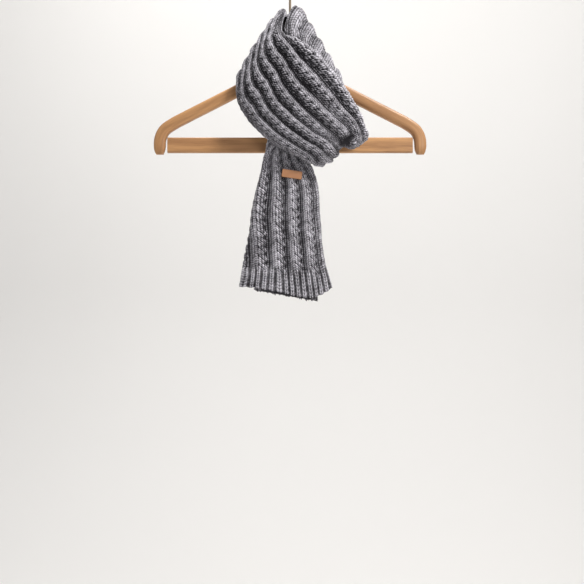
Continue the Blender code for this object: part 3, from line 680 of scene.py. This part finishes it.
def knit_stretch(stretch, sizes, material):
    """One stretch of the strip: plain inside, stitches raised on the outside."""
    columns = stretch.across * FINE
    rows = stretch.steps * FINE
    places = np.linspace(PLACES[stretch.first], PLACES[stretch.last], rows + 1)
    shares = np.linspace(0, 1, columns + 1)
    points, normals, across, pitch = surface_grid(places, shares)
    lift, slide, rib_shading, loops = knit_relief(places, shares, pitch, sizes)
    outer = points + normals * lift[:, :, None] + across * slide[:, :, None]
    if stretch.first == 0:
        reach = smooth_step(1 - places / HEM_SCALLOP_REACH)[:, None]
        scallop = ridge(shares * HEM_RIBS, 0.8)[None, :]
        outer[:, :, 2] -= HEM_SCALLOP * reach * scallop
    if stretch.last == len(ROWS) - 1:
        reach = smooth_step((places - places[-1]) / RAGGED_REACH + 1)[:, None]
        ragged = wander(shares * 31, 0, 31) + 0.8 * wander(shares * 75, 0, 37)
        outer[:, :, 2] += RAGGED * reach * ragged[None, :]
    bm = stitched_block(stretch.across, stretch.steps)
    piece = mesh_object(bm, "knit_" + stretch.name, material)
    mesh = piece.data
    unit = np.zeros(len(mesh.vertices) * 3, dtype=np.float32)
    mesh.vertices.foreach_get("co", unit)
    unit = unit.reshape(-1, 3)
    column = np.rint(unit[:, 0] * columns).astype(int)
    line = np.rint(unit[:, 1] * rows).astype(int)
    above = unit[:, 2] > 0.5
    placed = np.where(above[:, None], outer[line, column], points[line, column]) * MM
    mesh.vertices.foreach_set("co", placed.astype(np.float32).ravel())
    # the two shading attributes carry painted shade to the yarn; the inner face gets fixed values,
    # which paint it dark as shade
    for name, values in (("rib_shading", np.where(above, rib_shading[line, column], 0.2)),
                         ("stitch_shading", np.where(above, loops[line, column], 0.6)),
                         ("along", places[line] * MM),
                         ("across", shares[column] * FLAT_WIDTH * MM)):
        attribute = mesh.attributes.new(name, "FLOAT", "POINT")
        attribute.data.foreach_set("value", values.astype(np.float32))
    mesh.update()
    return piece


# ---- materials
class Socket:
    """A shader socket that takes part in Python expressions."""

    def __init__(self, shader, link):
        self.shader = shader
        self.link = link

    def math(self, operation, *others):
        return self.shader.node("ShaderNodeMath", {"operation": operation}, (self, *others))

    def __add__(self, other):
        return self.math("ADD", other)

    __radd__ = __add__

    def __sub__(self, other):
        return self.math("SUBTRACT", other)

    def __rsub__(self, other):
        return self.shader.node("ShaderNodeMath", {"operation": "SUBTRACT"}, (other, self))

    def __mul__(self, other):
        return self.math("MULTIPLY", other)

    __rmul__ = __mul__

    def __pow__(self, other):
        return self.math("POWER", other)

    def clamped(self):
        settings = {"operation": "ADD", "use_clamp": True}
        return self.shader.node("ShaderNodeMath", settings, (self, 0))


class Shader:
    """One Principled material and the nodes that feed it."""

    def __init__(self, name, **constants):
        self.material = bpy.data.materials.new(name)
        self.material.use_nodes = True
        self.tree = self.material.node_tree
        self.principled = self.tree.nodes["Principled BSDF"]
        for key, value in constants.items():
            self.principled.inputs[key.replace("_", " ")].default_value = value

    def node(self, kind, settings=None, inputs=(), output=0):
        """Adds a node, sets its settings, then its sockets, and gives one of its outputs."""
        node = self.tree.nodes.new(kind)
        for key, value in (settings or {}).items():
            setattr(node, key, value)
        pairs = inputs.items() if isinstance(inputs, dict) else enumerate(inputs)
        for key, value in pairs:
            if isinstance(value, Socket):
                self.tree.links.new(value.link, node.inputs[key])
            else:
                node.inputs[key].default_value = value
        return Socket(self, node.outputs[output])

    def attribute(self, name):
        return self.node("ShaderNodeAttribute", {"attribute_name": name}, output="Fac")

    def place(self):
        return self.node("ShaderNodeTexCoord", output="Object")

    def combine(self, x, y, z=0):
        return self.node("ShaderNodeCombineXYZ", inputs=(x, y, z))

    def stretched(self, vector, scale):
        return self.node("ShaderNodeVectorMath", {"operation": "MULTIPLY"}, (vector, scale))

    def noise(self, vector, scale, detail=3, roughness=0.5, distortion=0):
        return self.node("ShaderNodeTexNoise", inputs={
            "Vector": vector, "Scale": scale, "Detail": detail, "Roughness": roughness,
            "Distortion": distortion})

    def mix(self, factor, first, second):
        return self.node("ShaderNodeMix", {"data_type": "RGBA"},
                         {0: factor, 6: first, 7: second}, output=2)

    def spread(self, value, low, high):
        """The value spread so that low becomes 0 and high becomes 1, and kept between them."""
        return self.node("ShaderNodeMapRange", {"clamp": True}, (value, low, high, 0, 1))

    def feed(self, **links):
        for key, value in links.items():
            self.tree.links.new(value.link, self.principled.inputs[key.replace("_", " ")])

    def bump(self, height, distance, strength=1):
        normal = self.node("ShaderNodeBump", inputs={
            "Strength": strength, "Distance": distance, "Height": height})
        self.feed(Normal=normal)


def rgba(colour, gain=1):
    return (*[min(channel * gain, 1) for channel in colour], 1)


def knit_material(name, sizes, gain=1):
    """Heathered fuzzy yarn, with painted shade between the ribs and the stitches and a painted
    highlight on pale flecks of the rib tops; a gain below 1 makes the darker, painted-shade copy.
    """
    shader = Shader(name, Roughness=0.92, Sheen_Weight=0.12, Sheen_Roughness=0.55,
                    Specular_IOR_Level=0.2)
    shader.principled.inputs["Sheen Tint"].default_value = (0.9, 0.9, 0.93, 1)
    place = shader.place()
    rib_shading = shader.attribute("rib_shading")
    stitch_shading = shader.attribute("stitch_shading")
    fibres = shader.combine(shader.attribute("along"), shader.attribute("across"))
    flecks = shader.noise(place, 1500, 3, 0.65)
    patches = shader.noise(place, 220) * 0.3 + shader.noise(place, 55, 2) * 0.6
    legs = shader.noise(shader.stretched(fibres, (380, 600, 1)), 1, 2, 0.6, 0.8)
    hairs = shader.noise(shader.stretched(fibres, (900, 2400, 1)), 1, 3, 0.65, 0.6)
    # random heather, yarn legs and patches, with painted shade from the rib and stitch shading
    # values
    heather_and_shade = rib_shading * 0.60 + stitch_shading * 0.95 + legs * 1 + flecks * 0.3 + patches - 1.585
    colour = shader.mix(heather_and_shade.clamped() ** 1.5, rgba(sizes.yarn_shade, gain), rgba(sizes.yarn, gain))
    # pale fibre flecks, kept to the rib tops: the yarn's own flecks and a painted highlight
    pale_flecks_and_highlight = shader.mix(shader.spread(flecks, 0.52, 0.75) * rib_shading ** 2 * 0.4, colour,
                      rgba(sizes.yarn, gain * 1.12))
    shader.feed(Base_Color=pale_flecks_and_highlight)
    shader.bump(hairs * 0.6 + flecks * 0.4, 0.0005, 0.6)
    return shader.material


def wood_material(name, sizes):
    """Varnished wood with its grain along the piece."""
    shader = Shader(name, Coat_Weight=0.25, Coat_Roughness=0.25, Specular_IOR_Level=0.45)
    along, up, deep = [shader.attribute(name) for name in GRAIN]
    place = shader.combine(along * 9, up * 120, deep * 60)
    warp = shader.noise(shader.combine(along * 4, up * 20, deep * 20), 1, 2)
    rings = shader.noise(place, 1, 4, 0.55, 0.4)
    pores = shader.noise(shader.combine(along * 60, up * 1500, deep * 1500), 1, 3, 0.6)
    grain = shader.spread(rings + warp * 0.3, 0.48, 0.82)
    colour = shader.mix(grain * 0.75, rgba(sizes.wood), rgba(sizes.grain))
    colour = shader.mix(shader.spread(pores, 0.58, 0.74) * 0.45, colour, rgba(sizes.grain, 0.7))
    shader.feed(Base_Color=colour, Roughness=0.38 + pores * 0.25)
    shader.bump(pores * 0.6 + rings * 0.4, 0.0002, 0.35)
    return shader.material


def metal_material(name, colour):
    shader = Shader(name, Metallic=1)
    place = shader.place()
    wear = shader.noise(place, 400, 3, 0.6)
    stains = shader.noise(place, 70, 2)
    shader.feed(Base_Color=shader.mix(stains, rgba(colour, 0.75), rgba(colour, 1.3)),
                Roughness=0.22 + wear * 0.3)
    shader.bump(wear, 0.00005, 0.4)
    return shader.material


def leather_material(name, colour):
    """Vegetable-tanned leather, darker along its cut edges."""
    shader = Shader(name, Roughness=0.55, Specular_IOR_Level=0.4)
    place = shader.place()
    grain = shader.noise(place, 1500, 3, 0.6)
    blotches = shader.noise(place, 160)
    edge = shader.attribute("edge")
    colour_mix = shader.mix(blotches * 0.7, rgba(colour, 1.15), rgba(colour, 0.8))
    shader.feed(Base_Color=shader.mix(edge * 0.75, colour_mix, rgba(colour, 0.35)))
    shader.bump(grain, 0.00015, 0.6)
    return shader.material


# ---- the hanger
# x, z of the middle line of the wood from the neck to the end of one arm
ARM_PATH = [(0, -151), (14, -153.5), (28, -161), (50, -173), (80, -188.5), (120, -209),
            (150, -224.3), (168, -234), (180, -243), (185.5, -254), (186.5, -266), (186.5, -277)]
BAR_TOP = -253
BAR_RECESS = 2.7
BAR_ROUND = 2.5
NECK_WIDTH = 20
HOOK_INNER_RADIUS = 18
WIRE_HALF = 1.7
SHANK_HEIGHTS = (-157, -137, -110, -90, -70, -52)
HOOK_LEAVE, HOOK_TIP = math.radians(-52), math.radians(188)
LABEL = Vector((28, 1.4, 11))
LABEL_TILT = math.radians(8.5)
GRAIN = ("along", "across", "deep")
SQUARENESS = 0.55  # of the rail's round section: 1 is an ellipse, less is squarer


def smooth_path(points, steps):
    """A smooth curve through plane points, evenly stepped along its length."""
    points = np.array(points, dtype=float)
    lengths = lengths_along(points)
    slopes = np.gradient(points, lengths, axis=0)
    return np.array([curve_at(lengths, points, slopes, place)
                     for place in np.linspace(0, lengths[-1], steps + 1)])


def rounded_block(size, long_axis, radius):
    """A block with the four edges along one axis rounded."""
    bm = bmesh.new()
    bmesh.ops.create_cube(bm, size=1)
    bmesh.ops.scale(bm, verts=bm.verts, vec=size)
    edges = []
    for edge in bm.edges:
        start, end = (vert.co[long_axis] for vert in edge.verts)
        if abs(start - end) > size[long_axis] / 2:
            edges.append(edge)
    bmesh.ops.bevel(bm, geom=edges, offset=radius, segments=6, profile=0.5, affect="EDGES",
                    material=-1)
    return bm


def swept_rail(path, tall, deep, sides):
    """A rounded rail along a plane path, with its length and height kept for the grain."""
    tangents = np.gradient(path, axis=0)
    tangents /= np.linalg.norm(tangents, axis=1, keepdims=True)
    lengths = lengths_along(path)
    bm = bmesh.new()
    layers = [bm.verts.layers.float.new(name) for name in GRAIN]
    rings = []
    for index, (point, tangent) in enumerate(zip(path, tangents)):
        end = min(index, len(path) - 1 - index)
        shrink = (0.62, 0.84, 0.95)[end] if end < 3 else 1
        ring = bmesh.ops.create_circle(bm, segments=sides, radius=1)["verts"]
        for vert in ring:
            c, s = vert.co.x, vert.co.y
            up = math.copysign(abs(s) ** SQUARENESS, s) * tall(point[0]) * shrink
            out = math.copysign(abs(c) ** SQUARENESS, c) * deep * shrink
            place = (point[0] - tangent[1] * up, out, point[1] + tangent[0] * up)
            vert.co = [value * MM for value in place]
            for layer, value in zip(layers, (lengths[index], up, out)):
                vert[layer] = value * MM
        rings.append(list(dict.fromkeys(edge for vert in ring for edge in vert.link_edges)))
    for lower, upper in zip(rings, rings[1:]):
        bmesh.ops.bridge_loops(bm, edges=lower + upper)
    bmesh.ops.holes_fill(bm, edges=rings[0] + rings[-1], sides=sides)
    bmesh.ops.recalc_face_normals(bm, faces=bm.faces)
    return bm


def hook_route():
    """The wire's middle line: shank, easy S bend, three quarters of a circle, tip."""
    radius = HOOK_INNER_RADIUS + WIRE_HALF
    join_x = radius * math.cos(HOOK_LEAVE)
    join_z = -HOOK_INNER_RADIUS + radius * math.sin(HOOK_LEAVE)
    route = [(0, z) for z in SHANK_HEIGHTS]
    for step in range(1, 14):
        t = step / 14
        ease = t * t * (3 - 2 * t) * (0.35 + 0.65 * t)
        route.append((join_x * ease, SHANK_HEIGHTS[-1] + (join_z - SHANK_HEIGHTS[-1]) * t))
    for angle in np.linspace(HOOK_LEAVE, HOOK_TIP, 73):
        route.append((radius * math.cos(angle), -HOOK_INNER_RADIUS + radius * math.sin(angle)))
    return route


# ---- the stage, in metres
FLOOR_START, FLOOR_Z, WALL_Y, WALL_TOP, BEND, STAGE_WIDTH = -9, -1.35, 1.9, 3, 0.9, 28
CAMERA_PLACE = (0.0028, -1.330, -0.474)
CAMERA_FIELD = 0.8176  # width of the view
CAMERA_FAR = 1.3  # at this distance
Light = namedtuple("Light", "name place aim size share colour")
LIGHTS = [
    Light("key", (1.10, -1.00, 1.45), (0, 0, -0.25), 0.45, 1, (1, 0.985, 0.96)),
    Light("low_fill", (0.7, -1.6, -0.15), (0, 0, -0.42), 0.4, 0.10, (1, 0.99, 0.98)),
    Light("left_fill", (-1.8, -1.2, 0.2), (0, 0, -0.3), 1.4, 0.08, (0.95, 0.97, 1)),
    Light("wall_wash", (0.35, 0.1, 1.6), (0.2, 1.9, -0.5), 1.6, 0.38, (1, 0.99, 0.97)),
    Light("back", (-0.5, 1.2, 1.6), (0, 0, -0.3), 0.9, 0.36, (1, 0.98, 0.95)),
]


# ---- operators
class SCARF_OT_knit(bpy.types.Operator):
    """Knits every stretch of the scarf over its solid"""
    bl_idname = "scarf.knit"
    bl_label = "Knit the scarf"

    def execute(self, context):
        sizes = context.scene.scarf_sizes
        light = knit_material("knit_light", sizes)
        # the back pieces take a copy of the yarn at 0.8 of its brightness: painted shade
        shade = knit_material("knit_shade", sizes, 0.8)
        for stretch in STRETCHES:
            material = shade if stretch.slot == "knit_shade" else light
            piece = knit_stretch(stretch, sizes, material)
            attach(piece, "root")
            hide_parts(stretch.name)
            stretch.cut_width * MM
            stretch.cut_length * MM
        return {"FINISHED"}


class SCARF_OT_label(bpy.types.Operator):
    """Makes the small blank leather tab on the front tail"""
    bl_idname = "scarf.label"
    bl_label = "Leather tab"

    def execute(self, context):
        low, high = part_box("leather_label")
        middle = (low + high) / 2
        bm = rounded_block(LABEL, 1, 1.6)
        front = [face for face in bm.faces if abs(face.normal.y) > 0.9]
        bmesh.ops.inset_region(bm, faces=front, thickness=0.45, depth=0.25, use_even_offset=True)
        edge = bm.verts.layers.float.new("edge")
        for vert in bm.verts:
            inside = min(LABEL.x / 2 - abs(vert.co.x), LABEL.z / 2 - abs(vert.co.z))
            vert[edge] = 1 if inside < 0.3 else 0
        turn = Matrix.Rotation(LABEL_TILT, 3, "Y")
        bmesh.ops.rotate(bm, verts=bm.verts, cent=(0, 0, 0), matrix=turn)
        bmesh.ops.scale(bm, verts=bm.verts, vec=(MM, MM, MM))
        bmesh.ops.translate(bm, verts=bm.verts, vec=middle)
        material = leather_material("label_leather", context.scene.hanger_sizes.leather)
        tab = mesh_object(bm, "leather_tab", material, sharp=40)
        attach(tab, "root")
        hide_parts("leather_label")
        return {"FINISHED"}


class SCARF_OT_hanger(bpy.types.Operator):
    """Makes the wooden rail, the bar and the wire hook"""
    bl_idname = "scarf.hanger"
    bl_label = "Hanger"

    def execute(self, context):
        sizes = context.scene.hanger_sizes
        wood = wood_material("hanger_wood", sizes)
        bar_wood = wood_material("bar_wood", sizes)
        half = smooth_path(ARM_PATH, 60)
        path = np.concatenate([(half * (-1, 1))[::-1], half[1:]])
        arm = sizes.arm_height / MM / 2
        neck = sizes.neck_height / MM / 2 - arm

        def tall(x):
            return arm + neck * math.exp(-(x / NECK_WIDTH) ** 2)

        rail = mesh_object(swept_rail(path, tall, sizes.arm_thickness / MM / 2, 32),
                           "shoulder_rail", wood, sharp=50)
        reach = ARM_PATH[-1][0] - arm - BAR_RECESS
        size = (2 * reach * MM, sizes.bar_thickness, sizes.bar_height)
        bm = rounded_block(size, 0, BAR_ROUND * MM)
        layers = [bm.verts.layers.float.new(name) for name in GRAIN]
        for vert in bm.verts:
            for layer, value in zip(layers, (vert.co.x, vert.co.z, vert.co.y)):
                vert[layer] = value
        bmesh.ops.translate(bm, verts=bm.verts, vec=(0, 0, BAR_TOP * MM - sizes.bar_height / 2))
        bar = mesh_object(bm, "cross_bar", bar_wood, sharp=30)

        data = bpy.data.curves.new("wire_hook", "CURVE")
        data.dimensions = "3D"
        data.bevel_depth = sizes.wire / 2
        data.bevel_resolution = 6
        data.use_fill_caps = True
        route = hook_route()
        spline = data.splines.new("POLY")
        spline.points.add(len(route) - 1)
        for index, (point, (x, z)) in enumerate(zip(spline.points, route)):
            point.co = (x * MM, 0, z * MM, 1)
            left = len(route) - 1 - index
            point.radius = (0.55, 0.9)[left] if left < 2 else 1
        spline.use_smooth = True
        hook = new_object("wire_hook", data, metal_material("hook_wire", sizes.metal))

        for piece, node, slot in ((rail, "hanger_arms", "wood"), (bar, "hanger_bar", "wood"),
                                  (hook, "hanger_hook", "wire")):
            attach(piece, "root")
            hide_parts(node)
        return {"FINISHED"}


class SCARF_OT_stage(bpy.types.Operator):
    """Sets the floor and wall, the lights and the camera"""
    bl_idname = "scarf.stage"
    bl_label = "Studio"

    def execute(self, context):
        scene = context.scene
        sizes = scene.stage_sizes
        bm = bmesh.new()
        profile = [(FLOOR_START, FLOOR_Z), (WALL_Y - BEND, FLOOR_Z)]
        for step in range(1, 17):
            angle = math.radians(90 * step / 16)
            profile.append((WALL_Y - BEND + BEND * math.sin(angle),
                            FLOOR_Z + BEND - BEND * math.cos(angle)))
        profile.append((WALL_Y, WALL_TOP))
        line = [bm.verts.new((-STAGE_WIDTH / 2, y, z)) for y, z in profile]
        edges = [bm.edges.new(pair) for pair in zip(line, line[1:])]
        pulled = bmesh.ops.extrude_edge_only(bm, edges=edges)
        pull_out(bm, pulled, (STAGE_WIDTH, 0, 0))
        shader = Shader("backdrop", Roughness=0.95, Specular_IOR_Level=0.1)
        mottle = shader.noise(shader.place(), 1.3, 2)
        shader.feed(Base_Color=shader.mix(mottle, rgba(sizes.backdrop, 0.98), rgba(sizes.backdrop)))
        mesh_object(bm, "studio_sweep", shader.material)

        for light in LIGHTS:
            data = bpy.data.lights.new(light.name, "AREA")
            data.size = light.size
            data.energy = sizes.key * light.share
            data.color = light.colour
            lamp = new_object(light.name, data)
            lamp.location = light.place
            aimed = Vector(light.aim) - Vector(light.place)
            lamp.rotation_euler = aimed.to_track_quat("-Z", "Y").to_euler()

        world = bpy.data.worlds.new("studio")
        world.use_nodes = True
        background = world.node_tree.nodes["Background"]
        background.inputs["Color"].default_value = (1, 0.985, 0.965, 1)
        background.inputs["Strength"].default_value = sizes.fill
        scene.world = world
        scene.view_settings.view_transform = "Standard"

        lens = bpy.data.cameras.new("camera")
        lens.sensor_width = 36
        lens.lens = lens.sensor_width * CAMERA_FAR / CAMERA_FIELD
        camera = new_object("camera", lens)
        camera.location = CAMERA_PLACE
        camera.rotation_euler = (math.pi / 2, 0, 0)
        scene.camera = camera
        return {"FINISHED"}


class SCARF_PT_panel(bpy.types.Panel):
    """Lists the pieces, their sizes and their colours"""
    bl_idname = "SCARF_PT_panel"
    bl_label = "Ribbed scarf"
    bl_space_type = "VIEW_3D"
    bl_region_type = "UI"
    bl_category = "Scarf"

    def draw(self, context):
        layout = self.layout
        for operator, group in (("scarf.knit", "scarf_sizes"), ("scarf.label", None),
                                ("scarf.hanger", "hanger_sizes"), ("scarf.stage", "stage_sizes")):
            box = layout.box()
            box.operator(operator)
            if group is None:
                continue
            sizes = getattr(context.scene, group)
            for name in type(sizes).__annotations__:
                box.prop(sizes, name)


GROUPS = (("scarf_sizes", ScarfSizes), ("hanger_sizes", HangerSizes), ("stage_sizes", StageSizes))
CLASSES = (SCARF_OT_stage, SCARF_OT_knit, SCARF_OT_label, SCARF_OT_hanger, SCARF_PT_panel)


def register():
    for name, group in GROUPS:
        bpy.utils.register_class(group)
        setattr(bpy.types.Scene, name, bpy.props.PointerProperty(type=group))
    for item in CLASSES:
        bpy.utils.register_class(item)


def unregister():
    for item in reversed(CLASSES):
        bpy.utils.unregister_class(item)
    for name, group in reversed(GROUPS):
        delattr(bpy.types.Scene, name)
        bpy.utils.unregister_class(group)


def main():
    register()
    bpy.ops.scarf.stage()
    bpy.ops.scarf.knit()
    bpy.ops.scarf.label()
    bpy.ops.scarf.hanger()


if __name__ == "__main__":
    main()
